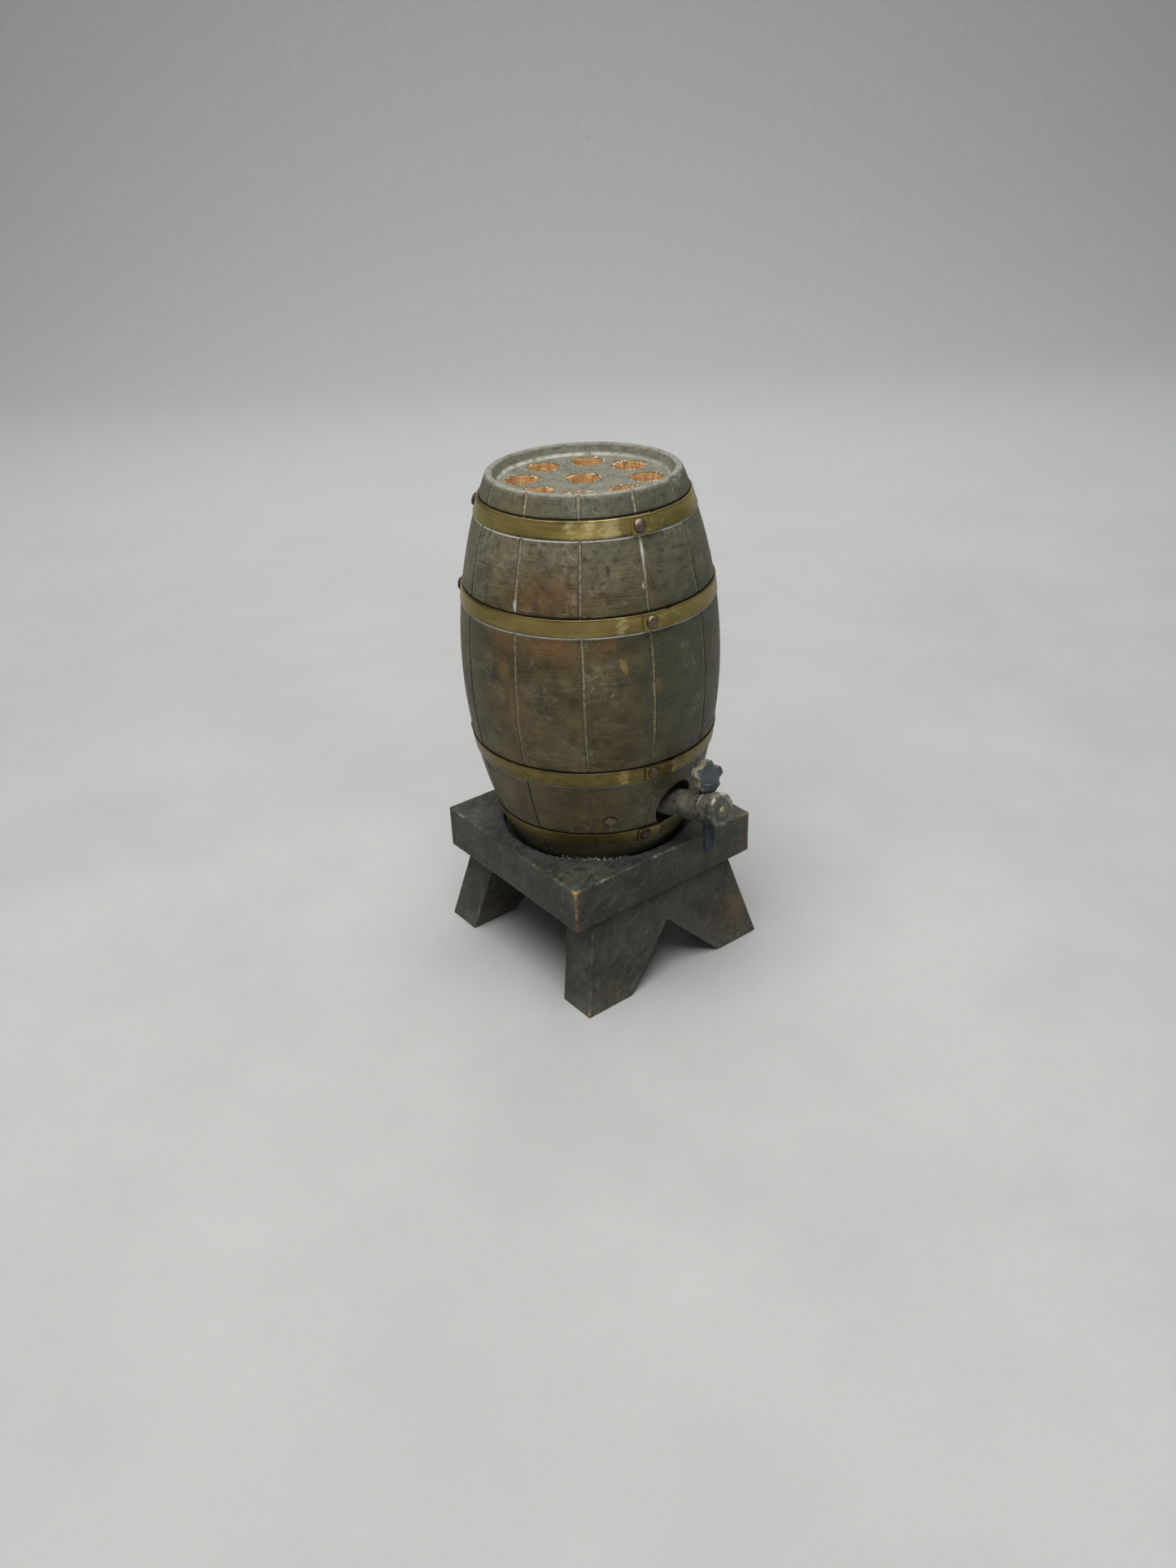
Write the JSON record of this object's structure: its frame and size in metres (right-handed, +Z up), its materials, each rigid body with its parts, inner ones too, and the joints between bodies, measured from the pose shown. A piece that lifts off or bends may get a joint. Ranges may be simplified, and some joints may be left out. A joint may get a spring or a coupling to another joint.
{
  "type": "small wooden barrel with tap on a stand",
  "caption": "Small turned wooden barrel with brass hoops and a wooden tap, standing on a splayed four-footed stand; blind holes in its head hold slim objects.",
  "frame": {"origin": "on the floor, under the barrel's own axis and the middle of the stand", "axes": "+Z up along the barrel's axis, -Y the tap's side, X along the stand's leg boards"},
  "size_m": [0.1104, 0.1303, 0.2205],
  "materials": {
    "barrel_wood": "satin",
    "hoop_brass": "satin",
    "nail_metal": "satin",
    "tap_wood": "matte",
    "key_wood": "matte",
    "plug_wood": "matte",
    "stand_wood": "matte",
    "raw_wood": "matte"
  },
  "bodies": {
    "stand": {"stand_plate": "stand_wood", "pivot_peg": "raw_wood", "leg_board_front": "stand_wood", "leg_board_rear": "stand_wood", "dowels_front": "raw_wood", "dowels_rear": "raw_wood"},
    "barrel": {"barrel_body": "barrel_wood", "hoop_rim": "hoop_brass", "hoop_upper": "hoop_brass", "hoop_lower": "hoop_brass", "hoop_foot": "hoop_brass", "nails_rim": "nail_metal", "nails_upper": "nail_metal", "nails_lower": "nail_metal", "nails_foot": "nail_metal", "stave_nail": "nail_metal", "tap_body": "tap_wood", "tap_spout": "key_wood", "tap_end_plug": "plug_wood"},
    "key": {"tap_key": "key_wood"}
  },
  "joints": [
    {"name": "barrel_turn", "type": "hinge", "parent": "stand", "child": "barrel", "pos_m": [0, 0, 0.0593], "axis": [0, 0, 1], "continuous": true},
    {"name": "key_turn", "type": "hinge", "parent": "barrel", "child": "key", "pos_m": [0.00785, -0.0658, 0.08834], "axis": [0.1633, 0.2419, 0.9565], "continuous": true}
  ]
}
